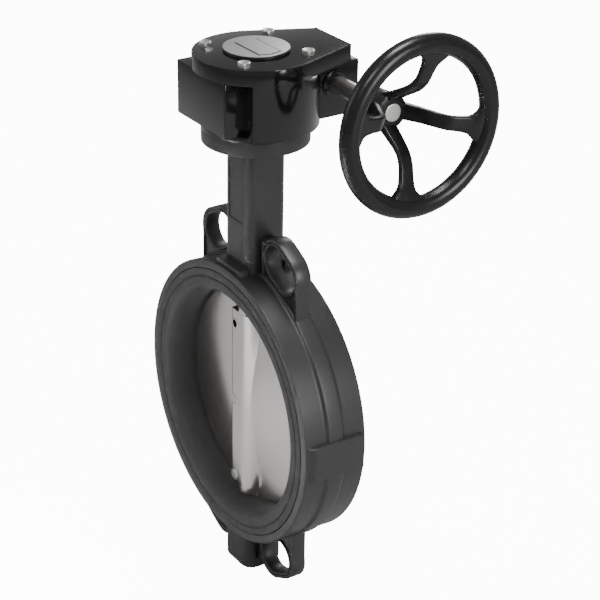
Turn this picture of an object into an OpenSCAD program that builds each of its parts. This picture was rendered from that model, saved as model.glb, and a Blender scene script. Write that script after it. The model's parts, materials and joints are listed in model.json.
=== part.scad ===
/* [Valve body] */
// Outer radius of the body ring at its two flange faces
ring_r = 127; // [126:0.5:128]
// Distance between the two sealing faces of the liner
face_to_face = 60; // [58:1:62]
// Height of the top flange's upper face above the bore centre
flange_top = 250; // [246:1:252]
// Width across the flats of the square neck
neck_w = 39; // [38:0.5:40]
// Radius of the round top flange
flange_r = 45; // [44:0.5:46]
// Distance from the bore centre to the foot of the bottom boss
boss_drop = 172.5; // [168:0.5:174]

/* [Centring eyes] */
// Radius of the pipe flange's bolt circle
bolt_circle_r = 147.5; // [147:0.5:148]
// Angle of the eyes from the stem axis
eye_angle = 19; // [18:0.5:20]
// Distance between the two end centres of the eye's slot
eye_travel = 14.7; // [14:0.1:15]
// Radius of the round ends of the eye's slot
eye_r = 14.9; // [14:0.1:15]
// Metal round the slot
eye_wall = 6; // [5:0.5:7]
// Thickness of the eye along the pipe
eye_t = 14.5; // [13:0.5:15]

/* [Disc and stem] */
// Radius of the disc's round sealing edge
disc_r = 97.2; // [96.8:0.1:97.2]
// Half thickness of the disc at its middle
disc_t = 13; // [12:0.5:13.5]
// Radius of the stem
stem_r = 11; // [10.5:0.1:11]

/* [Gear operator] */
// Teeth on a full worm wheel, which is also the gear ratio
wheel_teeth = 32; // [32:4:36]
// Pitch radius of the worm wheel
wheel_pitch_r = 45; // [44.8:0.1:45]
// Pitch radius of the worm
worm_pitch_r = 13; // [13:0.1:13.2]
// Height of the worm axis above the bore centre
worm_z = 283; // [282.5:0.1:283]
// Radius of the handwheel shaft
shaft_r = 7.5; // [7:0.1:7.5]
// Thickness of the cover plate
cover_t = 12.2; // [11:0.1:13]

/* [Handwheel] */
// Radius of the centre line of the rim
rim_r = 65.8; // [64:0.1:70]
// Radius of the rim's round section
rim_tube_r = 8; // [7:0.1:9]
// Plane of the rim along the shaft
rim_x = 143.5; // [138:0.5:144]
// Outer end of the handwheel shaft
shaft_end_x = 108; // [107:0.5:109]
// Width of a spoke
spoke_w = 10.5; // [9:0.5:12]

/* [Hidden] */
$fn = 96;

// Clearances: between still pieces, and between a turning piece and what guides it
gap = 0.05;
run = 0.06;
far = 400;

// Body ring and liner
body_half = face_to_face / 2 - 0.5;
liner_seat_r = disc_r + 0.3;
liner_back_r = 108;
liner_lip_r = 119.5;
liner_lip_t = 4;
band_r = ring_r - 1.5;
rib_r = ring_r + 2.5;
rib_half = eye_t / 2;
pad_x = 130.5;
pad_half_z = 16;
pad_depth = 9.5;
pad_lead = 4.5;
pad_front_y = -22;
pad_back_y = 26.5;

// Neck, top flange and bottom boss
neck_corner = 9;
flange_t = 12;
flange_z = flange_top - flange_t;
neck_start = 112;
bush_r = 14;
boss_chamfer = 6;
foot_top = 131;
foot_y = 26;
mount_pcd = 70;
mount_hole_r = 4;
mount_head_r = 6.5;
mount_head_h = 8;
mount_screw_end = flange_top + 12;

// Stem, disc hub and pins
stem_bottom = -150;
stem_top = 297;
pin_r = 4;
pin_x = -9.5;
pin_heights = [68, -6.5, -82.5];
hub_x = 2.2;
hub_r = 14.2;
hub_left_x = -15;
hub_flat_y = 13.5;
hub_half_z = 88;
hub_end_r = 14;
disc_edge_t = 4.5;
disc_edge_start = 90;

// Gear housing: the box, the bulge round the worm wheel and the worm chamber
worm_y = wheel_pitch_r + worm_pitch_r;
box_x0 = -47;
box_x1 = 28;
box_y0 = -46.5;
box_y1 = 81;
box_z0 = 254.5;
box_z1 = 300;
bulge_r = 51.5;
bulge_z0 = 253;
bulge_y0 = -29.5;
chamber_r = 48;
chamber_z0 = 257;
chamber_wall = 3.5;
worm_room_r = 15.8;
worm_room_x1 = 20;
wheel_hub_r = 20;
wheel_journal_r = 17;
wheel_top_r = 15;
wheel_top_z = 309;
wheel_shoulder_z0 = 262;
wheel_shoulder_z1 = 292;
stop_r = 4;
stop_ring_r = 34;
sector_from = -28;
sector_to = 118;
stop_offset = asin((stop_r + 0.3) / stop_ring_r);

// Cover, its bolts and the indicator
gasket_t = 0.8;
cover_z0 = box_z1 + gasket_t;
cover_z1 = cover_z0 + cover_t;
cover_r = 52;
cover_end_y = 73;
cover_x0 = -25.5;
cover_recess_r = 46;
cover_recess_h = 5;
cover_bolt_ring = 43.5;
cover_bolt_r = 3;
cover_boss_r = 6.5;
cover_boss_z0 = 288.5;
indicator_r = 27.3;
indicator_h = 2.3;
indicator_plate_t = 0.6;
indicator_gap = 0.4;
seal_r = 13.5;
key_w = 6;
key_in = 8;
key_out = 13.8;

// Worm thread and wheel teeth
worm_pitch = 2 * PI * wheel_pitch_r / wheel_teeth;
worm_len = 36;
addendum = 2.2;
dedendum = 2.6;
tooth_half = 1.8;
flank_tan = tan(20);
crest_half = tooth_half - addendum * flank_tan;
root_half = tooth_half + dedendum * flank_tan;
wheel_face = 8;
slices_per_turn = 20;
shaft_in_x = -42;
washer_t = 1.5;
worm_half = worm_len / 2;

// Handwheel hub and spokes
wheel_x0 = 82;
wheel_x1 = 106;
wheel_hub_outer = 14;
spoke_turn = 80;
spoke_t = 6.5;
spoke_front = [
    [10, 101], [16, 115.5], [20, 123], [24, 129.5], [28, 133.8], [34, 137.5], [44, 140.5],
    [rim_r - 2, 143]
];
flare_r = 9;
wheel_pin_x = 90;
wheel_pin_r = 2.5;

// Places a profile drawn as (radius, distance along the pipe) round the bore axis
module about_bore() {
    rotate([90, 0, 0]) mirror([0, 0, 1]) rotate_extrude($fn = 180) children();
}

// Ring standing on the stem axis between two heights
module stem_ring(r_in, r_out, z0, z1) {
    translate([0, 0, z0]) difference() {
        cylinder(r = r_out, h = z1 - z0);
        translate([0, 0, -1]) cylinder(r = r_in, h = z1 - z0 + 2);
    }
}

// Rod or ring on the worm axis between two places along it
module worm_rod(r, x0, x1) {
    translate([x0, worm_y, worm_z]) rotate([0, 90, 0]) cylinder(r = r, h = x1 - x0);
}

module worm_ring(r_in, r_out, x0, x1) {
    difference() {
        worm_rod(r_out, x0, x1);
        worm_rod(r_in, x0 - 1, x1 + 1);
    }
}

// Square section with round corners, as the neck and the bottom boss have
module neck_section() {
    flat = neck_w - 2 * neck_corner;
    square([neck_w, flat], center = true);
    square([flat, neck_w], center = true);
    for (sx = [-1, 1], sy = [-1, 1]) {
        translate([sx * flat / 2, sy * flat / 2]) circle(r = neck_corner);
    }
}

// Slot shape between two centres
module slot_shape(a, b, r) {
    along = (b - a) / norm(b - a);
    side = [-along[1], along[0]] * r;
    translate(a) circle(r = r);
    translate(b) circle(r = r);
    polygon([a + side, b + side, b - side, a - side]);
}

// End centres of the upper right eye's slot, in the plane of the ring
eye_centre = bolt_circle_r * [sin(eye_angle), cos(eye_angle)];
eye_run = eye_travel / 2 * [cos(eye_angle + 8), -sin(eye_angle + 8)];
eye_a = eye_centre - eye_run;
eye_b = eye_centre + eye_run;
eye_out_r = eye_r + eye_wall;

// Outline of one eye with its two straight sides running down to the ring
module eye_outline() {
    slot_shape(eye_a, eye_b, eye_out_r);
    polygon([
        eye_a - [eye_out_r, 0], eye_a, eye_b, eye_b + [eye_out_r, 0],
        [eye_b[0] + eye_out_r, 95], [eye_a[0] - eye_out_r, 117]
    ]);
}

module each_eye() {
    for (sx = [0, 1], sz = [0, 1]) {
        mirror([sx, 0, 0]) mirror([0, 0, sz]) rotate([90, 0, 0]) children();
    }
}

function ring_profile() = [
    [liner_back_r + gap, -body_half + liner_lip_t - 0.5],
    [liner_lip_r + 0.3, -body_half + liner_lip_t - 0.5],
    [liner_lip_r + 0.3, -body_half], [ring_r - 1, -body_half], [ring_r, -body_half + 1],
    [band_r, -rib_half], [rib_r, -rib_half], [rib_r, rib_half], [band_r, rib_half],
    [ring_r, body_half - 1], [ring_r - 1, body_half], [liner_lip_r + 0.3, body_half],
    [liner_lip_r + 0.3, body_half - liner_lip_t + 0.5],
    [liner_back_r + gap, body_half - liner_lip_t + 0.5]
];

module side_pad() {
    translate([0, 0, -pad_half_z]) linear_extrude(2 * pad_half_z) polygon([
        [pad_x - pad_depth, pad_front_y - pad_lead], [pad_x - pad_lead, pad_front_y - pad_lead],
        [pad_x, pad_front_y], [pad_x, pad_back_y], [pad_x - pad_depth, pad_back_y]
    ]);
}

module bottom_boss() {
    intersection() {
        translate([0, 0, -boss_drop]) linear_extrude(boss_drop - neck_start) neck_section();
        translate([0, 0, -boss_drop]) {
            cylinder(r1 = neck_w / 2, r2 = neck_w / 2 + 60, h = 60);
        }
    }
}

// Cast body: ring, side pads, square neck with its flange, bottom boss and four eyes
module valve_body() {
    color([0.20, 0.20, 0.21]) difference() {
        union() {
            about_bore() polygon(ring_profile());
            side_pad();
            mirror([1, 0, 0]) side_pad();
            translate([0, 0, neck_start]) {
                linear_extrude(flange_z - neck_start + 1) neck_section();
            }
            translate([-neck_w / 2 + 1, -foot_y, neck_start]) {
                cube([neck_w - 2, 2 * foot_y, foot_top - neck_start]);
            }
            translate([0, 0, flange_z]) cylinder(r = flange_r, h = flange_t);
            bottom_boss();
            each_eye() {
                linear_extrude(eye_t, center = true) difference() {
                    eye_outline();
                    circle(r = liner_back_r + 8);
                }
            }
        }
        each_eye() {
            linear_extrude(eye_t + 2, center = true) slot_shape(eye_a, eye_b, eye_r);
        }
        translate([0, 0, 100]) cylinder(r = bush_r + gap, h = flange_top);
        translate([0, 0, -boss_drop - 1]) cylinder(r = bush_r + gap, h = boss_drop - 99);
        mount_screw_places() {
            translate([0, 0, flange_z - 1]) cylinder(r = mount_head_r + 0.5, h = mount_head_h + 1);
            translate([0, 0, flange_z]) cylinder(r = mount_hole_r + 0.5, h = flange_t + 1);
        }
    }
}

module mount_screw_places() {
    for (a = [45:90:315]) rotate([0, 0, a]) translate([mount_pcd / 2, 0, 0]) children();
}

// Rubber liner: the bore, and a lip over each face of the ring with a fine groove
module seat_liner() {
    half = face_to_face / 2;
    lip_in = body_half - liner_lip_t + 0.5 + gap;
    groove_r = 112.3;
    quarter = [
        [liner_seat_r, 12], [liner_seat_r + 0.6, 18], [liner_seat_r + 1.8, 23],
        [liner_seat_r + 3.4, 27], [liner_seat_r + 5, 29.2], [liner_seat_r + 6.5, half],
        [groove_r - 0.6, half], [groove_r, half - 0.8], [groove_r + 0.6, half],
        [liner_lip_r - 0.8, half], [liner_lip_r, half - 0.8], [liner_lip_r, lip_in],
        [liner_back_r, lip_in]
    ];
    last = len(quarter) - 1;
    other = [for (i = [last:-1:0]) [quarter[i][0], -quarter[i][1]]];
    color([0.09, 0.09, 0.10]) difference() {
        about_bore() polygon(concat(quarter, other));
        translate([0, 0, -far / 2]) cylinder(r = stem_r + 0.3, h = far);
    }
}

module upper_stem_bush() {
    color([0.66, 0.52, 0.26]) stem_ring(stem_r + run, bush_r, 205, 235);
}

module middle_stem_bush() {
    color([0.85, 0.84, 0.80]) stem_ring(stem_r + run, bush_r, 112, 142);
}

module lower_stem_bush() {
    color([0.85, 0.84, 0.80]) stem_ring(stem_r + run, bush_r, -142, -112);
}

module stem_seals() {
    color([0.08, 0.08, 0.08]) for (z = [238, 243]) {
        stem_ring(stem_r + run, bush_r, z, z + 3);
    }
}

// Threaded plug with a hexagon socket that closes the bottom boss
module bottom_plug() {
    plug_h = 11;
    socket_r = 7;
    color([0.62, 0.62, 0.60]) translate([0, 0, -boss_drop + 0.5]) difference() {
        cylinder(r = bush_r, h = plug_h);
        translate([0, 0, -1]) cylinder(r = socket_r, h = 8, $fn = 6);
    }
}

module plug_seal() {
    seat = -boss_drop + 11.5 + gap;
    color([0.10, 0.10, 0.10]) stem_ring(9, bush_r, seat, seat + 3);
}

// Outline of the wheel chamber, which keeps inside the walls of the box at the front
module chamber_outline() {
    intersection() {
        circle(r = chamber_r);
        union() {
            translate([-far / 2, bulge_y0 + chamber_wall]) square([far, far]);
            translate([box_x0 + chamber_wall, box_y0 + chamber_wall]) {
                square([box_x1 - box_x0 - 2 * chamber_wall, -box_y0]);
            }
        }
    }
}

// Outline of the bulge, which starts at a step in the sides of the box
module bulge_outline() {
    intersection() {
        circle(r = bulge_r);
        translate([-far / 2, bulge_y0]) square([far, far]);
    }
}

module cover_bolt_places() {
    for (a = [45:90:315]) rotate([0, 0, a]) translate([cover_bolt_ring, 0, 0]) children();
}

// Cast housing of the gear operator, open at the top, with cast stops for the wheel
module gear_housing() {
    color([0.10, 0.10, 0.11]) difference() {
        union() {
            difference() {
                union() {
                    translate([box_x0, box_y0, box_z0]) {
                        cube([box_x1 - box_x0, box_y1 - box_y0, box_z1 - box_z0]);
                    }
                    translate([0, 0, bulge_z0]) {
                        linear_extrude(box_z1 - bulge_z0) bulge_outline();
                    }
                    translate([0, 0, flange_top]) cylinder(r = flange_r, h = 7);
                }
                translate([0, 0, chamber_z0]) linear_extrude(far) chamber_outline();
                worm_rod(worm_room_r, box_x0 - 1, worm_room_x1);
            }
            mount_screw_places() {
                translate([0, 0, flange_top]) cylinder(r = 7, h = 15);
            }
            intersection() {
                cover_bolt_places() {
                    translate([0, 0, cover_boss_z0]) {
                        cylinder(r = cover_boss_r, h = box_z1 - cover_boss_z0);
                    }
                }
                translate([0, 0, cover_boss_z0]) cylinder(r = chamber_r + 1, h = far);
            }
            for (a = [sector_from - stop_offset, sector_to + 90 + stop_offset]) {
                rotate([0, 0, a]) translate([stop_ring_r, 0, chamber_z0 - 1]) {
                    cylinder(r = stop_r, h = 30);
                }
            }
        }
        translate([0, 0, flange_top - 1]) {
            cylinder(r = wheel_journal_r + run, h = chamber_z0 - flange_top + 2);
        }
        mount_screw_places() {
            translate([0, 0, flange_top - 1]) cylinder(r = mount_hole_r + gap, h = 14);
        }
        cover_bolt_places() {
            translate([0, 0, cover_boss_z0 + 1]) cylinder(r = cover_bolt_r + gap, h = far);
        }
        worm_rod(11 + gap, worm_room_x1 - 1, box_x1 + 1);
    }
}

module flange_screws() {
    color([0.70, 0.70, 0.68]) mount_screw_places() {
        translate([0, 0, flange_z]) difference() {
            cylinder(r = mount_head_r, h = mount_head_h);
            translate([0, 0, -1]) cylinder(r = 3.4, h = 5, $fn = 6);
        }
        translate([0, 0, flange_z + mount_head_h]) {
            cylinder(r = mount_hole_r, h = mount_screw_end - flange_z - mount_head_h);
        }
    }
}

// Point where the line from an outside corner touches the cover's round part
function touch_point(corner, side) =
    let (reach = norm(corner), base = atan2(corner[1], corner[0]), swing = acos(cover_r / reach))
    cover_r * [cos(base + side * swing), sin(base + side * swing)];

module cover_outline() {
    right = [box_x1, cover_end_y];
    left = [cover_x0, cover_end_y];
    circle(r = cover_r);
    polygon([[0, 0], touch_point(right, -1), right, left, touch_point(left, 1)]);
}

// Cover plate: a disc drawn out to a straight edge over the worm, hollow underneath
module gear_cover() {
    color([0.16, 0.16, 0.17]) difference() {
        translate([0, 0, cover_z0]) linear_extrude(cover_t) cover_outline();
        difference() {
            translate([0, 0, cover_z0 - 1]) cylinder(r = cover_recess_r, h = cover_recess_h + 1);
            cover_bolt_places() {
                translate([0, 0, cover_z0 - 2]) cylinder(r = cover_boss_r, h = far);
            }
        }
        translate([0, 0, cover_z0 - 1]) {
            cylinder(r = wheel_top_r + run, h = wheel_top_z - cover_z0 + 1 + indicator_gap);
        }
        translate([0, 0, cover_z0 - 1]) cylinder(r = seal_r + gap, h = far);
        cover_bolt_places() {
            translate([0, 0, cover_z0 - 1]) cylinder(r = cover_bolt_r + 0.3, h = far);
        }
    }
}

module cover_gasket() {
    color([0.35, 0.33, 0.28]) translate([0, 0, box_z1]) linear_extrude(gasket_t) difference() {
        cover_outline();
        difference() {
            circle(r = cover_recess_r);
            cover_bolt_places() circle(r = cover_boss_r);
        }
        cover_bolt_places() circle(r = cover_bolt_r + 0.3);
    }
}

module cover_bolts() {
    head_r = 5.8;
    head_h = 4;
    color([0.74, 0.73, 0.70]) cover_bolt_places() {
        translate([0, 0, cover_z1]) cylinder(r = head_r, h = head_h, $fn = 6);
        translate([0, 0, cover_boss_z0 + 2]) {
            cylinder(r = cover_bolt_r, h = cover_z1 - cover_boss_z0 - 1);
        }
    }
}

module indicator_seal() {
    z0 = wheel_top_z + indicator_gap + 0.2;
    color([0.08, 0.08, 0.08]) stem_ring(stem_r + run, seal_r, z0, z0 + 3);
}

module worm_bush_outer() {
    color([0.66, 0.52, 0.26]) worm_ring(shaft_r + run, 11, worm_room_x1, box_x1 - 3);
}

module worm_shaft_seal() {
    color([0.08, 0.08, 0.08]) worm_ring(shaft_r + run, 11, box_x1 - 3 + gap, box_x1);
}

// Pressed plug that closes the worm chamber and carries the inner bush
module worm_end_plug() {
    color([0.12, 0.12, 0.13]) difference() {
        worm_rod(worm_room_r - gap, box_x0, box_x0 + 18);
        worm_rod(11 + gap, box_x0 + 4, box_x0 + 19);
    }
}

module worm_bush_inner() {
    color([0.66, 0.52, 0.26]) worm_ring(shaft_r + run, 11, box_x0 + 6, box_x0 + 18);
}

module pin_rods(r, half_len) {
    for (z = pin_heights) {
        translate([pin_x, half_len, z]) rotate([90, 0, 0]) cylinder(r = r, h = 2 * half_len);
    }
}

module stem() {
    groove_z = 292.5;
    color([0.72, 0.72, 0.70]) difference() {
        translate([0, 0, stem_bottom]) cylinder(r = stem_r, h = stem_top - stem_bottom);
        pin_rods(pin_r + gap, hub_r + 1);
        translate([key_in - gap, -key_w / 2 - gap, wheel_shoulder_z0]) {
            cube([10, key_w + 2 * gap, 26]);
        }
        stem_ring(stem_r - 1, stem_r + 2, groove_z, groove_z + 1.6);
    }
}

// Height of the domed face above the disc's middle plane at a distance from its centre
function dome(r) = disc_edge_t + (disc_t - disc_edge_t) * (1 + cos(180 * r / disc_edge_start)) / 2;

module disc_plate() {
    steps = 12;
    edge_steps = 6;
    edge_angle = asin(disc_edge_t / disc_r);
    top = [for (i = [0:steps]) let (r = disc_edge_start * i / steps) [r, dome(r)]];
    edge = [
        for (i = [0:edge_steps])
            let (a = edge_angle * (1 - 2 * i / edge_steps)) disc_r * [cos(a), sin(a)]
    ];
    under = [for (i = [steps:-1:0]) let (r = disc_edge_start * i / steps) [r, -dome(r)]];
    about_bore() polygon(concat(top, edge, under));
}

// Section of the disc's hub: round on one side, nearly flat faces on the side of the pins
module hub_section() {
    translate([hub_x, 0]) circle(r = hub_r);
    polygon([
        [hub_left_x, -hub_flat_y], [hub_x, -hub_r], [hub_x, hub_r], [hub_left_x, hub_flat_y]
    ]);
}

// Stainless disc: domed plate and a hub along the stem
module disc() {
    color([0.74, 0.73, 0.71]) difference() {
        union() {
            disc_plate();
            intersection() {
                union() {
                    translate([0, 0, -hub_half_z]) linear_extrude(2 * hub_half_z) hub_section();
                    translate([0, 0, -disc_r]) cylinder(r = hub_end_r, h = 2 * disc_r);
                }
                sphere(r = disc_r - 0.2, $fn = 180);
            }
        }
        translate([0, 0, -far / 2]) cylinder(r = stem_r + gap, h = far);
        pin_rods(pin_r + gap, hub_r + 1);
    }
}

// Pins that cross the hub beside the stem and bite into its flank
module disc_pins() {
    color([0.60, 0.59, 0.57]) pin_rods(pin_r, hub_flat_y - 1);
}

function wheel_tooth(turn) =
    let (
        tip_r = wheel_pitch_r + addendum,
        foot_r = wheel_pitch_r - dedendum - 1,
        foot_half = tooth_half + (dedendum + 1) * flank_tan,
        corners = [[foot_r, -foot_half], [tip_r, -crest_half], [tip_r, crest_half], [foot_r, foot_half]]
    )
    [for (p = corners) [p[0] * cos(turn) - p[1] * sin(turn), p[0] * sin(turn) + p[1] * cos(turn)]];

module sector_outline() {
    pitch_angle = 360 / wheel_teeth;
    root_r = wheel_pitch_r - dedendum;
    middle = (sector_from + sector_to) / 2;
    intersection() {
        circle(r = root_r);
        polygon([
            [0, 0], far * [cos(sector_from), sin(sector_from)], far * [cos(middle), sin(middle)],
            far * [cos(sector_to), sin(sector_to)]
        ]);
    }
    for (i = [-10:2]) polygon(wheel_tooth(90 + i * pitch_angle));
}

// Toothed quarter of a worm wheel on a long hub, with a keyway
module worm_wheel() {
    color([0.45, 0.43, 0.40]) difference() {
        union() {
            translate([0, 0, flange_top + 0.5]) {
                cylinder(r = wheel_journal_r, h = wheel_shoulder_z0 - flange_top);
            }
            stem_ring(stem_r, wheel_hub_r, wheel_shoulder_z0, wheel_shoulder_z1);
            translate([0, 0, wheel_shoulder_z1 - 1]) {
                cylinder(r = wheel_top_r, h = wheel_top_z - wheel_shoulder_z1 + 1);
            }
            translate([0, 0, worm_z - wheel_face / 2]) linear_extrude(wheel_face) sector_outline();
        }
        translate([0, 0, flange_top - 1]) cylinder(r = stem_r + gap, h = 292 - flange_top);
        translate([0, 0, 290]) cylinder(r = 13 + gap, h = 5);
        translate([0, 0, 290]) cylinder(r = stem_r + gap, h = far);
        translate([0, -key_w / 2 - gap, wheel_shoulder_z0]) {
            cube([key_out + gap, key_w + 2 * gap, 26]);
        }
    }
}

module wheel_key() {
    color([0.66, 0.66, 0.64]) translate([key_in, -key_w / 2, wheel_shoulder_z0 + gap]) {
        cube([key_out - key_in, key_w, 26 - 2 * gap]);
    }
}

module stem_circlip() {
    opening = 6;
    color([0.55, 0.54, 0.52]) difference() {
        stem_ring(stem_r - 1 + gap, 13, 292.5 + gap, 294);
        translate([-14, -opening / 2, 290]) cube([14, opening, 8]);
    }
}

// Black indicator body with a stub that turns with the wheel
module indicator_base() {
    color([0.05, 0.05, 0.05]) union() {
        translate([0, 0, stem_top + 1]) cylinder(r = stem_r, h = cover_z1 - stem_top);
        translate([0, 0, cover_z1 + indicator_gap]) cylinder(r = indicator_r, h = indicator_h);
    }
}

// Silver plate with a raised bar that lies in line with the disc
module indicator_plate() {
    bar_w = 4;
    bar_h = 0.2;
    plate_r = indicator_r - 0.6;
    base = cover_z1 + indicator_gap + indicator_h;
    color([0.80, 0.80, 0.78]) union() {
        translate([0, 0, base]) cylinder(r = plate_r, h = indicator_plate_t);
        translate([-plate_r * 0.6, -bar_w / 2, base]) {
            cube([plate_r * 1.2, bar_w, indicator_plate_t + bar_h]);
        }
    }
}

// Steel shaft of the handwheel, running through the worm
module worm_shaft() {
    color([0.62, 0.62, 0.60]) difference() {
        worm_rod(shaft_r, shaft_in_x, shaft_end_x);
        cross_rod(2 + gap, -worm_half + 4, 20);
        cross_rod(wheel_pin_r + gap, wheel_pin_x, 20);
    }
}

// Pin across the worm axis at a place along it
module cross_rod(r, x, half_len) {
    translate([x, worm_y, worm_z - half_len]) cylinder(r = r, h = 2 * half_len, $fn = 48);
}

// Section of the worm thread square to its axis: one ridge that winds once round
function thread_r(a) =
    let (off = abs(a) * worm_pitch / 360)
    off < crest_half ? worm_pitch_r + addendum :
    off > root_half ? worm_pitch_r - dedendum :
    worm_pitch_r + addendum
        - (addendum + dedendum) * (off - crest_half) / (root_half - crest_half);

module worm() {
    crest_a = 360 * crest_half / worm_pitch;
    root_a = 360 * root_half / worm_pitch;
    flank = (root_a - crest_a) / 6;
    angles = concat(
        [for (i = [-3:3]) i * crest_a / 3],
        [for (i = [1:6]) crest_a + i * flank],
        [for (i = [1:7]) root_a + i * (360 - 2 * root_a) / 8],
        [for (i = [6:-1:1]) 360 - crest_a - i * flank]
    );
    outline = [
        for (a = angles) let (near = a > 180 ? a - 360 : a) thread_r(near) * [cos(a), sin(a)]
    ];
    turns = worm_len / worm_pitch;
    color([0.58, 0.58, 0.57]) difference() {
        translate([-worm_half, worm_y, worm_z]) rotate([90, 0, 90]) {
            rotate([0, 0, -180 * turns]) {
                linear_extrude(
                    worm_len, twist = -360 * turns, slices = ceil(turns * slices_per_turn),
                    $fn = len(outline)
                ) polygon(outline);
            }
        }
        worm_rod(shaft_r + gap, -worm_half - 1, worm_half + 1);
        cross_rod(2 + gap, -worm_half + 4, 20);
    }
}

module worm_pin() {
    color([0.66, 0.66, 0.64]) cross_rod(2, -worm_half + 4, 11);
}

module thrust_washers() {
    color([0.70, 0.60, 0.34]) {
        worm_ring(shaft_r + gap, 13, worm_half + gap, worm_half + washer_t);
        worm_ring(shaft_r + gap, 13, box_x0 + 18 + 0.4, -worm_half - gap);
    }
}

// Bowl-shaped band, round the shaft, that the spokes are cut from
module spoke_bowl() {
    back = [for (i = [len(spoke_front) - 1:-1:0]) spoke_front[i] - [0, spoke_t]];
    rotate([0, 90, 0]) rotate_extrude($fn = 120) polygon(concat(spoke_front, back));
}

// Four arms in the plane of the rim, each flared where it meets the rim
module spoke_arms() {
    inner = rim_r - rim_tube_r;
    for (i = [0:3]) rotate(spoke_turn + 90 * i) {
        translate([0, -spoke_w / 2]) square([rim_r, spoke_w]);
        difference() {
            translate([inner - flare_r, -spoke_w / 2 - flare_r]) {
                square([flare_r + 2, spoke_w + 2 * flare_r]);
            }
            for (s = [-1, 1]) {
                translate([inner - flare_r, s * (spoke_w / 2 + flare_r)]) circle(r = flare_r);
            }
        }
    }
}

// Handwheel: round rim, four dished spokes and a hub bored for the shaft
module handwheel() {
    color([0.07, 0.07, 0.08]) difference() {
        translate([0, worm_y, worm_z]) union() {
            translate([rim_x, 0, 0]) rotate([0, 90, 0]) rotate_extrude($fn = 120) {
                translate([rim_r, 0]) circle(r = rim_tube_r, $fn = 48);
            }
            intersection() {
                spoke_bowl();
                translate([wheel_x0, 0, 0]) rotate([90, 0, 90]) linear_extrude(80) spoke_arms();
            }
            translate([wheel_x0, 0, 0]) rotate([0, 90, 0]) {
                cylinder(r = wheel_hub_outer, h = wheel_x1 - wheel_x0);
            }
        }
        worm_rod(shaft_r + gap, wheel_x0 - 1, shaft_end_x + 1);
        cross_rod(wheel_pin_r + gap, wheel_pin_x, 30);
    }
}

module handwheel_pin() {
    color([0.66, 0.66, 0.64]) cross_rod(wheel_pin_r, wheel_pin_x, wheel_hub_outer - 0.5);
}

valve_body();
seat_liner();
upper_stem_bush();
middle_stem_bush();
lower_stem_bush();
stem_seals();
bottom_plug();
plug_seal();
gear_housing();
flange_screws();
gear_cover();
cover_gasket();
cover_bolts();
indicator_seal();
worm_bush_inner();
worm_bush_outer();
worm_shaft_seal();
worm_end_plug();
stem();
disc();
disc_pins();
worm_wheel();
wheel_key();
indicator_base();
indicator_plate();
stem_circlip();
worm_shaft();
worm();
worm_pin();
thrust_washers();
handwheel();
handwheel_pin();
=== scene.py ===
import json
from math import cos, hypot, pi, radians, sin

import bmesh
import bpy
from mathutils import Matrix, Quaternion, Vector


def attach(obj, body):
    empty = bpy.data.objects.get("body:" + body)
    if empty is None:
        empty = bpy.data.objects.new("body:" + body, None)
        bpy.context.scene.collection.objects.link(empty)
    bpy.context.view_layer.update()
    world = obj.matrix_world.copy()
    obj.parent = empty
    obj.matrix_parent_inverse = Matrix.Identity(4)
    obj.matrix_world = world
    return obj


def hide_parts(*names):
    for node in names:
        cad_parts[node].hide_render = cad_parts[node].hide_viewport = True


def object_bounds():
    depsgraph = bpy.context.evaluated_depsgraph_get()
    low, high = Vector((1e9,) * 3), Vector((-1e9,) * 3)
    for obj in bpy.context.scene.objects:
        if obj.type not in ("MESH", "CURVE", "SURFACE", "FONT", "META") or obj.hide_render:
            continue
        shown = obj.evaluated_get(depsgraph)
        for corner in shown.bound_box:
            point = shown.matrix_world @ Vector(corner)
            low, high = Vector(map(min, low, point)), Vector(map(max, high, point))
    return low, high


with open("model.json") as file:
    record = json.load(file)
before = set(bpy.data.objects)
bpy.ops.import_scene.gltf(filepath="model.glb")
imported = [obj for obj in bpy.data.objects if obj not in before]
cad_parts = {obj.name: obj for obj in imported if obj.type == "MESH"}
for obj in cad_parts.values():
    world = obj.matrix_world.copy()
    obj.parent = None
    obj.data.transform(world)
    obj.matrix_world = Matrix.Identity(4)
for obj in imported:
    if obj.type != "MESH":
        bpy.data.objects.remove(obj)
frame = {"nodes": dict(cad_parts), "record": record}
cad_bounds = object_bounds()
X, Y, Z = Vector((1, 0, 0)), Vector((0, 1, 0)), Vector((0, 0, 1))


# ---- Camera, floor and light -------------------------------------------------
# The valve is looked at from above, over its right side, against a plain white
# studio with large soft lamps.
look = Vector((-0.7603, 0.4767, -0.4413))
camera_data = bpy.data.cameras.new("camera")
camera_data.lens = 109.9
camera_data.shift_x = 0.0733
camera = bpy.data.objects.new("camera", camera_data)
camera.location = (1.1856, -0.7420, 0.7786)
camera.rotation_euler = (look.to_track_quat("-Z", "Y")
                         @ Quaternion(Z, radians(0.39))).to_euler()
bpy.context.collection.objects.link(camera)
bpy.context.scene.camera = camera


def lamp(name, place, aim, size, power, spread=180):
    """Soft rectangular lamp that points at a place."""
    light = bpy.data.lights.new(name, "AREA")
    light.shape = "RECTANGLE"
    light.size, light.size_y = size
    light.energy = power
    light.spread = radians(spread)
    holder = bpy.data.objects.new(name, light)
    holder.location = place
    holder.rotation_euler = (Vector(aim) - Vector(place)).to_track_quat("-Z", "Y").to_euler()
    bpy.context.collection.objects.link(holder)


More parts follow.
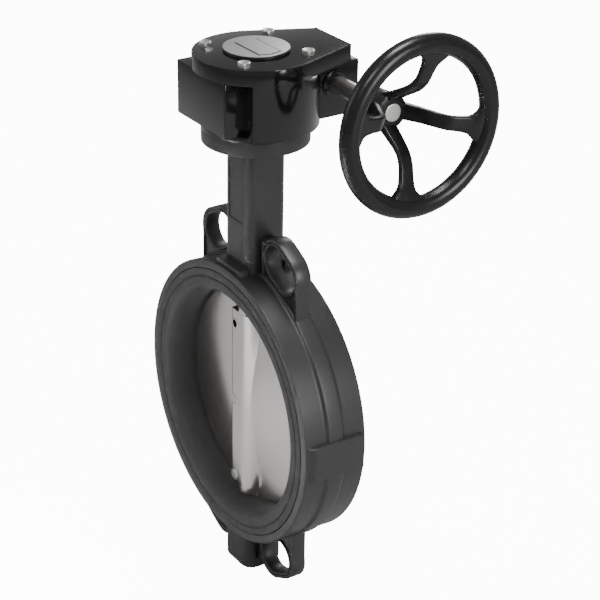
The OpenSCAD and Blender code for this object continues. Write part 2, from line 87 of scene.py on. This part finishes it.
lamp("key", (1.2, -1.5, 2.4), (0, 0, 0.1), (0.9, 0.7), 20)
lamp("side", (2.6, 0.5, 0.9), (0, 0, 0.05), (0.8, 1.4), 40)
lamp("top", (0.1, 0.2, 2.6), (0, 0, 0.2), (0.9, 0.9), 55)
lamp("left", (-1.6, -2.0, 1.2), (0, 0, 0.1), (0.7, 1.2), 7)
lamp("low front", (0.3, -1.0, 0.7), (0.02, -0.5, -0.17), (0.15, 0.15), 4, 30)
lamp("back", (-1.6, 1.6, 1.3), (0, 0, 0), (0.5, 0.5), 9)
world = bpy.data.worlds.new("studio")
world.use_nodes = True
world.node_tree.nodes["Background"].inputs["Color"].default_value = (1, 1, 1, 1)
world.node_tree.nodes["Background"].inputs["Strength"].default_value = 0.35
bpy.context.scene.world = world


class Wire:
    """A shader value that can be added, multiplied and compared like a number."""

    def __init__(self, tree, socket):
        self.tree, self.socket = tree, socket

    def put(self, socket):
        self.tree.links.new(self.socket, socket)

    def calc(self, operation, first, second=None):
        node = self.tree.nodes.new("ShaderNodeMath")
        node.operation = operation
        for value, socket in zip((first, second), node.inputs):
            if isinstance(value, Wire):
                value.put(socket)
            elif value is not None:
                socket.default_value = value
        return Wire(self.tree, node.outputs[0])

    def __add__(self, other):
        return self.calc("ADD", self, other)

    def __sub__(self, other):
        return self.calc("SUBTRACT", self, other)

    def __rsub__(self, other):
        return self.calc("SUBTRACT", other, self)

    def __mul__(self, other):
        return self.calc("MULTIPLY", self, other)

    def __truediv__(self, other):
        return self.calc("DIVIDE", self, other)

    def __pow__(self, other):
        return self.calc("POWER", self, other)

    def __gt__(self, other):
        return self.calc("GREATER_THAN", self, other)

    def __lt__(self, other):
        return self.calc("LESS_THAN", self, other)

    def clamped(self):
        return self.calc("MINIMUM", self.calc("MAXIMUM", self, 0), 1)

    __radd__, __rmul__ = __add__, __mul__


class Finish:
    """A material built round one principled shader; plain numbers set its inputs."""

    def __init__(self, name, **plain):
        self.material = bpy.data.materials.new(name)
        self.material.use_nodes = True
        self.tree = self.material.node_tree
        self.shader = self.tree.nodes["Principled BSDF"]
        for key, value in plain.items():
            self.shader.inputs[key.replace("_", " ")].default_value = value
        self.place = self.node("ShaderNodeTexCoord").outputs["Object"]

    def node(self, kind, settings=None, **inputs):
        made = self.tree.nodes.new(kind)
        for key, value in (settings or {}).items():
            setattr(made, key, value)
        for key, value in inputs.items():
            socket = made.inputs[key.replace("_", " ")]
            if isinstance(value, Wire):
                value.put(socket)
            elif isinstance(value, bpy.types.NodeSocket):
                self.tree.links.new(value, socket)
            else:
                socket.default_value = value
        return made

    def wire(self, socket):
        return Wire(self.tree, socket)

    def stretched(self, scale):
        return self.node("ShaderNodeMapping", None, Vector=self.place, Scale=scale).outputs[0]

    def noise(self, scale, detail=3.0, roughness=0.5, place=None):
        made = self.node("ShaderNodeTexNoise", None, Vector=place or self.place,
                         Scale=scale, Detail=detail, Roughness=roughness)
        return self.wire(made.outputs["Fac"])

    def between(self, factor, low, high):
        made = self.node("ShaderNodeMix", {"data_type": "RGBA"})
        factor.put(made.inputs["Factor"])
        for value, socket in ((low, made.inputs[6]), (high, made.inputs[7])):
            if isinstance(value, bpy.types.NodeSocket):
                self.tree.links.new(value, socket)
            else:
                socket.default_value = (*value, 1)
        return made.outputs[2]

    def colour(self, socket):
        self.tree.links.new(socket, self.shader.inputs["Base Color"])

    def rough(self, wire):
        wire.clamped().put(self.shader.inputs["Roughness"])

    def bump(self, height, distance, strength=1.0):
        made = self.node("ShaderNodeBump", None, Height=height, Distance=distance,
                         Strength=strength)
        self.tree.links.new(made.outputs[0], self.shader.inputs["Normal"])


floor_paint = Finish("studio floor", Roughness=0.9, Emission_Strength=12.0)
floor_paint.colour(floor_paint.between(floor_paint.noise(3), (0.46, 0.46, 0.46),
                                       (0.49, 0.49, 0.49)))
seen = floor_paint.wire(floor_paint.node("ShaderNodeLightPath").outputs["Is Camera Ray"])
floor_paint.tree.links.new(floor_paint.between(seen, (0, 0, 0), (1, 1, 1)),
                           floor_paint.shader.inputs["Emission Color"])
floor_mesh = bmesh.new()
bmesh.ops.create_grid(floor_mesh, x_segments=1, y_segments=1, size=6)
floor_gap = 0.0002
bmesh.ops.translate(floor_mesh, vec=(0, 0, cad_bounds[0][2] - floor_gap),
                    verts=floor_mesh.verts)
floor_data = bpy.data.meshes.new("floor")
floor_mesh.to_mesh(floor_data)
floor_data.materials.append(floor_paint.material)
floor = bpy.data.objects.new("floor", floor_data)
bpy.context.collection.objects.link(floor)


# ---- Cast body: ring ---------------------------------------------------------
# One iron casting with a satin charcoal epoxy coat. The ring is turned flat on
# its two faces; a raised rib runs round its middle and joins the bolt eyes.
def rounded(corners, steps=4):
    """Points of an outline whose corners (across, along, cut) are rounded off."""
    points = []
    last = len(corners) - 1
    for i, (a, b, cut) in enumerate(corners):
        if not cut:
            points.append((a, b))
            continue
        here = Vector((a, b))
        before = Vector(corners[i - 1][:2]) - here
        after = Vector(corners[i + 1 if i < last else 0][:2]) - here
        start = here + before.normalized() * min(cut, before.length * 0.49)
        end = here + after.normalized() * min(cut, after.length * 0.49)
        for k in range(steps + 1):
            t = k / steps
            points.append(tuple(start * (1 - t) ** 2 + here * 2 * t * (1 - t) + end * t * t))
    return points


def turned(bm, outline, centre, axis, across, steps=96):
    """Turns an outline of (distance from the axis, distance along it) round an axis."""
    spots = [bm.verts.new(Vector(centre) + across * a + axis * b) for a, b in outline]
    edges = [bm.edges.new(pair) for pair in zip(spots, spots[1:] + spots[:1])]
    bmesh.ops.spin(bm, geom=spots + edges, cent=centre, axis=axis, angle=2 * pi,
                   steps=steps, use_merge=True)


def lofted(bm, loops, capped=False):
    """Joins closed loops of points, all of the same count, into one skin."""
    rings = []
    for loop in loops:
        spots = [bm.verts.new(point) for point in loop]
        rings.append([bm.edges.new(pair) for pair in zip(spots, spots[1:] + spots[:1])])
    for low, high in zip(rings, rings[1:]):
        bmesh.ops.bridge_loops(bm, edges=low + high)
    if capped:
        for ring in (rings[0], rings[-1]):
            bmesh.ops.contextual_create(bm, geom=ring)


def finished(bm, name, body, stands_for, finish, sharp=35):
    """Takes a piece drawn in millimetres, smooths it, paints it and hands it over."""
    bmesh.ops.remove_doubles(bm, verts=bm.verts, dist=0.002)
    bmesh.ops.recalc_face_normals(bm, faces=bm.faces)
    bmesh.ops.transform(bm, matrix=Matrix.Scale(0.001, 4), verts=bm.verts)
    mesh = bpy.data.meshes.new(name)
    bm.to_mesh(mesh)
    bm.free()
    for face in mesh.polygons:
        face.use_smooth = True
    mesh.set_sharp_from_angle(angle=radians(sharp))
    mesh.materials.append(finish.material)
    piece = bpy.data.objects.new(name, mesh)
    bpy.context.collection.objects.link(piece)
    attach(piece, body)
    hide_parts(stands_for)


body_paint = Finish("charcoal epoxy coat", Roughness=0.45, Coat_Weight=0.25, Coat_Roughness=0.3)
grain = body_paint.noise(900, 2)
swell = body_paint.noise(60, 3)
shade = body_paint.noise(25, 2)
body_paint.colour(body_paint.between(shade, (0.019, 0.019, 0.0205), (0.026, 0.026, 0.0275)))
body_paint.rough(0.36 + swell * 0.16)
body_paint.bump(grain * 0.6 + swell * 0.8, 0.00012, 0.5)

ring = bmesh.new()
ring_line = rounded([
    (119.8, -29.5, 0.4), (127, -29.5, 1.2), (126.2, -8.6, 1.5), (128.4, -6.6, 1.2),
    (128.4, 7.1, 1.2), (126.4, 8.6, 1.5), (127, 29.5, 1.2), (119.8, 29.5, 0.4),
    (119.8, 26.1, 0), (108, 26.1, 0), (108, -26.1, 0), (119.8, -26.1, 0)])
turned(ring, ring_line, (0, 0, 0), Y, X, 200)
for side in (-1, 1):
    lead = rounded([(side * 120, -27.5, 0), (side * 126, -27, 1), (side * 130.5, -22, 2),
                    (side * 130.5, 26.5, 1.2), (side * 120, 26.8, 0)])
    inner = rounded([(side * 120, -27.1, 0), (side * 125, -26.5, 1), (side * 129.3, -21.6, 2),
                     (side * 129.3, 25.8, 1.2), (side * 120, 26.2, 0)])
    lofted(ring, [[(x, y, z) for x, y in line] for z, line in (
        (-16, inner), (-15, lead), (15, lead), (16, inner))], capped=True)
finished(ring, "cast_ring", "valve_frame", "valve_body", body_paint)


# ---- Cast body: neck, top flange and bottom boss -----------------------------
# The same casting goes up as a square neck with round corners, ends in a round
# turned flange, and goes down as a short boss closed by a plug.
def square_loop(half, corner, z, panel=0.0, grooves=0.0, steps=6):
    """Square with round corners; its front can be sunk and its right side grooved."""
    loop = []
    for quarter in range(4):
        turn = pi / 2 * quarter
        for k in range(steps + 1):
            a = pi / 2 * k / steps
            x, y = half - corner + corner * cos(a), half - corner + corner * sin(a)
            loop.append((x * cos(turn) - y * sin(turn), x * sin(turn) + y * cos(turn), z))
        if quarter == 2:
            flat = half - corner - 0.5
            loop += [(-flat, panel - half, z), (flat, panel - half, z)]
    for y, sunk in ((-8.9, 0), (-8.6, 1), (-6.6, 1), (-6.3, 0), (-4.6, 0), (-4.3, 1), (-2.3, 1),
                    (-2.0, 0)):
        loop.append((half - sunk * grooves, y * (half - corner) / 10, z))
    return loop


column = bmesh.new()
heights = [(100, 19.5, 0), (134, 19.5, 0), (134.5, 19.9, 0), (136.5, 19.9, 0), (137, 19.5, 0),
           (169.6, 19.5, 0), (170.2, 19.5, 0.8), (232, 19.5, 0.8), (232.6, 19.5, 0),
           (235.4, 19.5, 0), (236.8, 20.2, 0), (237.6, 21.4, 0), (238.2, 23.4, 0)]
lofted(column, [square_loop(half, 9 + (half - 19.5) * 0.8, z, panel)
                for z, half, panel in heights])
flange_line = rounded([(12, 238, 0), (45, 238, 0.8), (45, 250, 0.6), (12, 250, 0)])
turned(column, flange_line, (0, 0, 0), Z, X, 128)
for turn in (0, pi):
    foot = rounded([(-19, -27, 1), (19, -27, 1), (19, -18, 0), (-19, -18, 0)])
    loops = [[(x * cos(turn) - y * sin(turn), x * sin(turn) + y * cos(turn), z) for x, y in foot]
             for z in (110, 130.2, 131)]
    lofted(column, loops, capped=True)
boss_heights = [(-118, 19.5, 9, 0), (-140, 19.5, 9, 0), (-140.6, 19.5, 9, 1.8),
                (-157, 19.5, 9, 1.8), (-157.6, 19.5, 9, 0), (-165, 19.5, 9, 0),
                (-166.2, 19.1, 9, 0), (-171.6, 14.6, 9.8, 0), (-172.3, 13.8, 10.2, 0),
                (-172.5, 13, 10.2, 0)]
lofted(column, [square_loop(half, corner, z, 0, sunk) for z, half, corner, sunk in boss_heights],
       capped=True)
finished(column, "cast_neck", "valve_frame", "valve_body", body_paint)


# ---- Cast body: bolt eyes ----------------------------------------------------
# Four eyes stand on the ring's rib. Each has a slanted slot for the flange stud,
# a raised edge round the slot and round its outline, and a shallow pocket between.
slot_in, slot_out = Vector((41.47, 142.75)), Vector((54.57, 136.17))
slot_r, eye_r = 14.9, 20.9
foot_in, foot_out = 20.57, 74.7


def eye_distance(x, z, slot_only):
    """Signed distance in the eye's plane to the slot or to the eye's outline."""
    here = Vector((x, z))
    run = slot_out - slot_in
    along = max(0, min(1, (here - slot_in).dot(run) / run.length_squared))
    round_part = (here - slot_in.lerp(slot_out, along)).length
    if slot_only:
        return round_part - slot_r
    foot_low = 109 - z - (x - foot_in) * 0.45
    foot_high = (z - slot_in.y) + (x - slot_in.x) * 0.502 - 6
    skirt = max(foot_in - x, x - foot_out, foot_low, foot_high)
    return min(round_part - eye_r, skirt)


def eye_loop(slot_only, offset, y, sx, sz, count=88):
    """Loop at a distance outside (+) or inside (-) one of the eye's two outlines."""
    loop = []
    centre = (slot_in + slot_out) / 2
    for i in range(count):
        turn = 2 * pi * i / count
        near, reach = 0.0, 90.0
        for _ in range(26):
            halfway = (near + reach) / 2
            x, z = centre.x + halfway * cos(turn), centre.y + halfway * sin(turn)
            if eye_distance(x, z, slot_only) < offset:
                near = halfway
            else:
                reach = halfway
        loop.append((sx * (centre.x + near * cos(turn)), y, sz * (centre.y + near * sin(turn))))
    return loop


half_eye = [(False, 0, 6.2), (False, -0.3, 6.9), (False, -1.0, 7.2), (False, -2.2, 7.2),
            (False, -2.9, 6.4), (False, -3.1, 5.6), (True, 2.6, 5.6), (True, 2.4, 6.5),
            (True, 1.6, 7.2), (True, 1.0, 7.2), (True, 0.3, 6.8), (True, 0, 6.1)]
eyes = bmesh.new()
for sx in (-1, 1):
    for sz in (-1, 1):
        front = [eye_loop(inside, offset, -y, sx, sz) for inside, offset, y in half_eye]
        back = [eye_loop(inside, offset, y, sx, sz) for inside, offset, y in half_eye[::-1]]
        for loops in (front, back):
            for k in range(4, 8):
                for i, point in enumerate(loops[k]):
                    rim = loops[3 if k < 6 else 8][i]
                    slot = loops[8 if k < 6 else 3][i]
                    gap = hypot(rim[0] - slot[0], rim[2] - slot[2])
                    depth = min(1.0, max(0.0, (gap - 0.6) / 2.5))
                    y = (point[1] - rim[1]) * depth + rim[1]
                    loops[k][i] = (point[0], y, point[2])
        lofted(eyes, front + back + front[:1])
finished(eyes, "bolt_eyes", "valve_frame", "valve_body", body_paint, sharp=40)


# ---- Rubber liner ------------------------------------------------------------
# Moulded black rubber that lines the bore and folds over both faces of the ring,
# with a fine groove near its edge and a soft lip that leads into the bore.
rubber = Finish("moulded black rubber", Roughness=0.6, Specular_IOR_Level=0.35)
powder = rubber.noise(220, 4)
cloud = rubber.noise(35, 2)
rubber.colour(rubber.between(cloud, (0.044, 0.044, 0.045), (0.056, 0.056, 0.057)))
rubber.rough(0.5 + powder * 0.18)
rubber.bump(powder, 0.00006, 0.4)
seat_edge = [(97.5, 0, 0), (97.5, 17, 3), (99.3, 24.5, 3), (103.6, 30, 3), (111.4, 30, 0.3),
             (112.0, 29.0, 0.3), (112.9, 29.0, 0.3), (113.5, 30, 0.3), (119.3, 30, 0.7),
             (119.3, 26.2, 0.3), (108.1, 26.2, 0)]
seat = bmesh.new()
seat_line = rounded(seat_edge + [(r, -y, cut) for r, y, cut in seat_edge[:0:-1]])
turned(seat, seat_line, (0, 0, 0), Y, X, 200)
finished(seat, "bore_liner", "valve_frame", "seat_liner", rubber)


# ---- Disc --------------------------------------------------------------------
# Investment cast stainless, finely brushed. Domed wings grow out of a straight
# hub along the stem, which carries three cross pins and round ends in the seat.
steel = Finish("brushed stainless disc", Metallic=1.0, Roughness=0.3)
brushed = steel.noise(600, 2, 0.6, steel.stretched((1.0, 1.0, 0.06)))
broad = steel.noise(14, 2)
steel.colour(steel.between(broad, (0.62, 0.60, 0.575), (0.70, 0.68, 0.655)))
steel.rough(0.15 + brushed * 0.08 + broad * 0.05)
steel.bump(brushed, 0.00002, 0.15)


disc_r = 97.15
edge_t = 4.5
hub_top, hub_low = 82, -88
hub_end_r = 14.0
hub_r, hub_x = 14.2, 2.2
hub_flat, hub_edge_x = 13.5, -15.6


def wing_height(x, z):
    """Half thickness of the disc at a place in its plane: dome, hub and hub ends."""
    r = hypot(x, z)
    dome = edge_t + 7.5 * (1 + cos(pi * min(r / 90, 1))) / 2
    if z > hub_top or z < hub_low:
        hub = max(0.0, hub_end_r ** 2 - x * x) ** 0.5
    elif x > hub_x:
        hub = max(0.0, hub_r ** 2 - (x - hub_x) ** 2) ** 0.5
    elif x > hub_edge_x:
        hub = hub_flat + (x + 14) * 0.04 + min(x + 14, 0) * 0.26
    else:
        hub = 0.0
    soft = 4.5 if x > 0 else 0.4
    near = max(soft - abs(dome - hub), 0.0) / soft
    top = max(dome, hub) + near * near * soft / 4
    return min(top, max(97.0 ** 2 - r * r, 0.0) ** 0.5)


wing = [16.4 + 80.75 * (k / 22) ** 1.15 for k in range(22, 0, -1)]
hub_columns = [-15.8, -15.61, -15.5, -15.0, -14.4, -13.6, -12.4, -11, -9.4, -7.6, -5.6, -3.4, -1,
               1.4, 3.8, 6.2, 8.4, 10.4, 12, 13.4, 14.6, 15.5, 16.1, 16.4, 16.6]
columns = [-x for x in wing] + hub_columns + [x + 0.3 for x in wing[::-1]]
rows = [pi * (k / 200 - 0.5) for k in range(201)]
hub_band = 17.0
disc = bmesh.new()
for face in (-1, 1):
    cells = bmesh.ops.create_grid(disc, x_segments=len(columns) - 1, y_segments=len(rows) - 1,
                                  size=1)["verts"]
    for k, vert in enumerate(cells):
        turn = rows[k // len(columns)]
        x, half = columns[k % len(columns)], disc_r * cos(turn)
        inner = min(hub_band, 0.55 * half)
        if abs(x) <= hub_band:
            x *= inner / hub_band
        else:
            share = (abs(x) - hub_band) / (disc_r - hub_band)
            x = (inner + share * (half - inner)) * (1 if x > 0 else -1)
        z = disc_r * sin(turn)
        vert.co = (x, face * wing_height(x, z), z)
finished(disc, "brushed_disc", "disc_and_stem", "disc", steel, sharp=30)


# ---- Disc pins ---------------------------------------------------------------
# Three stainless pins lock the disc to the stem. The lowest ends in a flush plug,
# the middle one in a small dimpled boss, and the top one lies deep in its hole;
# the dark of that hole is painted shade, a near-black disc on the pin's flat end.
pins = bmesh.new()
pin_steel = Finish("turned stainless pins", Metallic=1.0, Roughness=0.3)
place = pin_steel.node("ShaderNodeSeparateXYZ", None, Vector=pin_steel.place)
height = pin_steel.wire(place.outputs[2])
pin_x, pin_heights, painted_hole_r = -9.5, (68, -6.5, -82.5), 3.4
from_axis = ((pin_steel.wire(place.outputs[0]) - pin_x / 1000) ** 2
             + (height - pin_heights[0] / 1000) ** 2)
# Painted shade: a near-black disc on the top pin's flat end stands in for the dark of its deep
# hole.
painted_hole_shade = (from_axis < (painted_hole_r / 1000) ** 2) * (height > 0)
grain = pin_steel.noise(500, 2)
pin_steel.colour(pin_steel.between(painted_hole_shade, (0.62, 0.60, 0.57), (0.004, 0.004, 0.004)))
pin_steel.rough(0.28 + grain * 0.12 + painted_hole_shade * 0.5)
pin_ends = (
    [(0.2, 13.8, 0), (3.4, 13.8, 0.2), (3.6, 14.3, 0.1), (4.6, 14.3, 0.3), (5.0, 13, 0)],
    [(0.2, 13.6, 0), (1.0, 13.9, 0.2), (1.6, 15.0, 0.3), (2.9, 15.0, 0.5), (3.6, 14, 0.4),
     (5.0, 14.1, 0.2), (5.4, 13, 0)],
    [(0.2, 14.5, 0), (4.4, 14.5, 0.4), (4.7, 13.4, 0.2), (5.3, 13.4, 0.2), (5.5, 14.2, 0.2),
     (5.9, 13, 0)])
for side in (-1, 1):
    for z, line in zip(pin_heights, pin_ends):
        turned(pins, rounded(line + [(0.2, 12, 0)]), (pin_x, 0, z), Y * side, X, 40)
finished(pins, "cross_pins", "disc_and_stem", "disc_pins", pin_steel)


# ---- Gear box ----------------------------------------------------------------
# Iron casting sprayed gloss black: a box over the worm, a round bulge over the
# wheel and a round foot on the valve's top flange, its corners barely rounded.
gear_paint = Finish("gloss black paint", Roughness=0.12, Specular_IOR_Level=0.4,
                    Coat_Weight=0.25, Coat_Roughness=0.05)
orange = gear_paint.noise(160, 2)
gear_paint.colour(gear_paint.between(orange, (0.005, 0.005, 0.0055), (0.008, 0.008, 0.0085)))
gear_paint.rough(0.10 + orange * 0.08)
gear_paint.bump(orange, 0.00006, 0.25)


def arc(radius, start, stop, steps=72):
    """Points on a circle round the stem, between two angles in degrees."""
    turns = [radians(start + (stop - start) * k / steps) for k in range(steps + 1)]
    return [(radius * cos(a), radius * sin(a)) for a in turns]


def drawn_in(outline, cut):
    """The same outline with every side moved inwards."""
    inner = []
    for i, point in enumerate(outline):
        here = Vector(point)
        before = (here - Vector(outline[i - 1])).normalized()
        after = (Vector(outline[(i + 1) % len(outline)]) - here).normalized()
        side = (before + after).normalized()
        inner.append(tuple(here + Vector((-side.y, side.x)) * cut / max(side.dot(after), 0.3)))
    return inner


def slab(bm, outline, low, high, cut):
    """Flat plate of any outline (drawn anticlockwise) with its edges rounded off."""
    loops = [[(x, y, z) for x, y in drawn_in(outline, inwards)] for z, inwards in (
        (low, cut), (low + cut * 0.3, cut * 0.3), (low + cut, 0), (high - cut, 0),
        (high - cut * 0.3, cut * 0.3), (high, cut))]
    lofted(bm, loops, capped=True)


shaft_line = (0, 58, 283)
housing = bmesh.new()
slab(housing, rounded([(-47, -46.5, 1.3), (28, -46.5, 1.3), (28, 80.8, 1.3), (-47, 80.8, 1.3)]),
     254.5, 300, 0.8)
bulge = arc(51.9, -34.6, 214.6, 120)
lofted(housing, [[(x, y, z) for x, y in drawn_in(bulge, inwards)] for z, inwards in (
    (252.7, 0.9), (253, 0.3), (253.6, 0), (300.3, 0), (300.4, 0.2))], capped=True)
slab(housing, arc(45.4, 0, 357, 119), 250, 255, 0.7)
turned(housing, rounded([(7.7, 27, 0), (12.2, 27, 0), (12.2, 29.4, 0.8), (9.6, 29.8, 0.5),
                         (7.7, 29.8, 0.3)]), shaft_line, X, Z, 64)
finished(housing, "gear_box", "valve_frame", "gear_housing", gear_paint)


# ---- Gear box cover and its bolts --------------------------------------------
# A cast plate, round over the wheel and drawn out to a straight edge over the
# worm, held by four zinc plated hexagon bolts.
cover = bmesh.new()
plate_line = rounded([(28, 73, 0.8), (-25.5, 73, 0.8)]) + arc(52, 157, 380.7, 110)
lofted(cover, [[(x, y, z) for x, y in drawn_in(plate_line, inwards)] for z, inwards in (
    (300.2, 0.2), (300.3, 0), (312.3, 0), (312.8, 0.2), (313, 0.7))], capped=True)
finished(cover, "gear_box_cover", "valve_frame", "gear_cover", gear_paint)
zinc = Finish("zinc plated steel", Metallic=1.0, Roughness=0.3)
spangle = zinc.noise(240, 3)
zinc.colour(zinc.between(spangle, (0.60, 0.59, 0.56), (0.74, 0.73, 0.70)))
zinc.rough(0.24 + spangle * 0.18)
zinc.bump(spangle, 0.00003, 0.3)
bolts = bmesh.new()
bolt_ring, head_r = 42.3, 5.8
for a in (45, 135, 225, 315):
    at = Vector((bolt_ring * cos(radians(a)), bolt_ring * sin(radians(a)), 0))
    loops = []
    for z, r in ((313, 5.6), (313.3, head_r), (316.1, head_r), (316.7, 5.3), (317, 4.6),
                 (316.9, 3.8), (316.7, 3.2)):
        loop = []
        for k in range(48):
            turn = 2 * pi * k / 48
            flat = head_r * cos(pi / 6) / cos((turn + pi / 6) % (pi / 3) - pi / 6)
            loop.append(at + Vector((min(r, flat) * cos(turn), min(r, flat) * sin(turn), z)))
        loops.append(loop)
    lofted(bolts, loops, capped=True)
finished(bolts, "cover_bolt_heads", "valve_frame", "cover_bolts", zinc)


# ---- Position indicator ------------------------------------------------------
# A black cap with a silver plate on top; a fine engraved line on the plate shows
# which way the disc lies. It turns with the stem.
silver = Finish("satin silver plate", Metallic=0.85)
cap = bmesh.new()
turned(cap, rounded([(0.5, 313.4, 0), (27.3, 313.4, 0.3), (27.3, 315.8, 0.3), (0.5, 315.8, 0)]),
       (0, 0, 0), Z, X, 96)
turned(cap, [(0.5, 298), (10.9, 298), (10.9, 313.5), (0.5, 313.5)], (0, 0, 0), Z, X, 48)
black = Finish("black plastic", Roughness=0.3)
fleck = black.noise(300, 2)
black.colour(black.between(fleck, (0.010, 0.010, 0.010), (0.018, 0.018, 0.018)))
black.rough(0.28 + fleck * 0.12)
finished(cap, "indicator_cap", "disc_and_stem", "indicator_base", black)
plate = bmesh.new()
turned(plate, rounded([(0.3, 315.8, 0), (27.0, 315.8, 0.1), (27.0, 316.3, 0.2), (0.3, 316.3, 0)]),
       (0, 0, 0), Z, X, 96)
split = silver.node("ShaderNodeSeparateXYZ", None, Vector=silver.place)
east, north = (silver.wire(split.outputs[k]) * 1000 for k in (0, 1))


def near_line(a, b, wide):
    """1 on a line between two places on the plate, 0 elsewhere."""
    run = Vector(b) - Vector(a)
    along = ((east - a[0]) * run.x + (north - a[1]) * run.y) / run.length_squared
    along = along.clamped()
    dx, dy = east - (along * run.x + a[0]), north - (along * run.y + a[1])
    return (dx * dx + dy * dy) < wide * wide


mark = near_line((-15.7, -10), (20.4, -10), 1.1) + near_line((20.4, -10), (23, -1), 1.0) \
    + near_line((23, -1), (20.6, 10), 0.9) + near_line((-16, 10), (20.6, 10), 0.4)
lathe_lines = silver.noise(400, 2, 0.5, silver.stretched((1, 0.05, 1)))
silver.colour(silver.between(mark.clamped(), silver.between(lathe_lines, (0.45, 0.45, 0.44),
                             (0.53, 0.53, 0.52)), (0.01, 0.01, 0.01)))
silver.rough(0.34 + lathe_lines * 0.1)
silver.bump(mark.clamped() * -1, 0.0002, 0.6)
finished(plate, "indicator_face", "disc_and_stem", "indicator_plate", silver)


# ---- Handwheel shaft ---------------------------------------------------------
# Turned steel bar from the worm to the handwheel; its bare end shows in the
# middle of the hub.
shaft_steel = Finish("turned shaft", Metallic=1.0, Roughness=0.2)
along_shaft = shaft_steel.wire(shaft_steel.node(
    "ShaderNodeSeparateXYZ", None, Vector=shaft_steel.place).outputs[0])
bare_end = along_shaft > 0.106
rings = shaft_steel.noise(60, 1)
shaft_steel.colour(shaft_steel.between(rings, (0.66, 0.65, 0.63), (0.72, 0.71, 0.69)))
shaft_steel.rough(0.30 + rings * 0.06 + bare_end * 0.08)
shaft = bmesh.new()
turned(shaft, rounded([(0.3, -42, 0), (7.5, -42, 0.6), (7.5, 108, 0.5), (6.2, 108.2, 0.2),
                       (0.3, 108.3, 0)]), shaft_line, X, Z, 64)
finished(shaft, "handwheel_shaft", "handwheel_and_worm", "worm_shaft",
         shaft_steel)


# ---- Handwheel ---------------------------------------------------------------
# One iron casting in black paint: a round rim with a fine lip inside, and four
# dished arms that leave the hub aslant, bend, and spread out where they meet it.
wheel_paint = Finish("black wheel paint", Roughness=0.3, Specular_IOR_Level=0.4)
skin = wheel_paint.noise(160, 2)
wheel_paint.colour(wheel_paint.between(skin, (0.005, 0.005, 0.0055), (0.008, 0.008, 0.0085)))
wheel_paint.rough(0.24 + skin * 0.08)
wheel_paint.bump(skin, 0.00004, 0.08)
wheel = bmesh.new()
rim_r, rim_x, rim_tube_r, rim_steps = 65.8, 143.5, 8.0, 40
rim_line = []
for k in range(rim_steps):
    a = 2 * pi * k / rim_steps
    tube = rim_tube_r + 0.5 * max(0.0, 1 - abs((k - rim_steps / 2) / 2.2))
    rim_line.append((rim_r + tube * cos(a), rim_x + tube * sin(a)))
turned(wheel, rim_line, shaft_line, X, Z, 200)
turned(wheel, rounded([(7.6, 82, 0.3), (13.2, 82, 1), (14, 94, 1), (14.2, 106.6, 1.6),
                       (7.6, 107.6, 0.4)]), shaft_line, X, Z, 96)
arm = [(98, 1.2, 9, 14, 9), (104.6, 1.8, 12.8, 13.5, 7), (114.7, 2.4, 18.4, 12.8, 6),
       (122.1, 3.1, 22.3, 12.2, 5.4), (128.4, 4, 26.2, 12, 5.2), (132, 5, 29.8, 12, 5.2),
       (134.7, 5.9, 33.3, 12, 5.2), (136.3, 6.6, 37, 12, 5.2), (137.5, 7.3, 40.9, 12.2, 5.2),
       (139, 8, 44.9, 13, 5.4), (140.1, 8.6, 48.4, 14.2, 5.8), (141, 9.3, 51.3, 17.5, 6.4),
       (142, 10, 54.5, 24, 7.4), (143, 10.3, 58, 33, 8.4), (143.5, 10.6, 62, 38, 9)]
for quarter in range(4):
    turn = Matrix.Rotation(-pi / 2 * quarter, 3, "X")
    loops = []
    for k, (x, dy, dz, wide, thick) in enumerate(arm):
        here = Vector((x, dy, dz))
        run = Vector(arm[min(k + 1, len(arm) - 1)][:3]) - Vector(arm[max(k - 1, 0)][:3])
        across = X.cross(run).normalized()
        up = run.cross(across).normalized()
        loop = []
        for i in range(28):
            a = 2 * pi * i / 28
            ca, sa = cos(a), sin(a)
            spot = across * wide / 2 * abs(ca) ** 0.25 * (1 if ca > 0 else -1)
            spot = spot + up * thick / 2 * abs(sa) ** 0.4 * (1 if sa > 0 else -1)
            loop.append(turn @ (here + spot) + Vector(shaft_line))
        loops.append(loop)
    lofted(wheel, loops, capped=True)
finished(wheel, "hand_wheel", "handwheel_and_worm", "handwheel", wheel_paint)


# ---- What is left of the CAD pieces ------------------------------------------
# Plain procedural finishes for the pieces that keep their drawn shape.
def plain_metal(name, low, high, rough, metallic=1.0):
    made = Finish(name, Metallic=metallic, Roughness=rough)
    mottle = made.noise(180, 3)
    made.colour(made.between(mottle, low, high))
    made.rough(rough + mottle * 0.15)
    made.bump(mottle, 0.00003, 0.3)
    return made


bright = plain_metal("turned steel", (0.56, 0.55, 0.53), (0.68, 0.67, 0.65), 0.25)
bronze = plain_metal("turned bronze", (0.50, 0.33, 0.13), (0.60, 0.42, 0.18), 0.3)
iron = plain_metal("machined iron", (0.22, 0.21, 0.20), (0.32, 0.31, 0.29), 0.4)
pale = plain_metal("pale plastic", (0.70, 0.69, 0.65), (0.78, 0.77, 0.73), 0.5, 0.0)
fibre = plain_metal("pressed fibre", (0.015, 0.015, 0.015), (0.03, 0.03, 0.03), 0.8, 0.0)
slot_finish = {
    "body_paint": body_paint, "liner_rubber": rubber, "seal_rubber": rubber, "bronze": bronze,
    "bush_plastic": pale, "zinc_steel": zinc, "gear_paint": gear_paint, "gasket_fibre": fibre,
    "stainless_bar": bright, "disc_stainless": steel, "wheel_iron": iron,
    "indicator_black": black, "indicator_silver": silver, "shaft_steel": bright,
    "wheel_paint": wheel_paint}
for part in frame["record"]["subparts"]:
    shown = frame["nodes"][part["node"]]
    shown.data.materials.clear()
    shown.data.materials.append(slot_finish[part["material_slot"]].material)
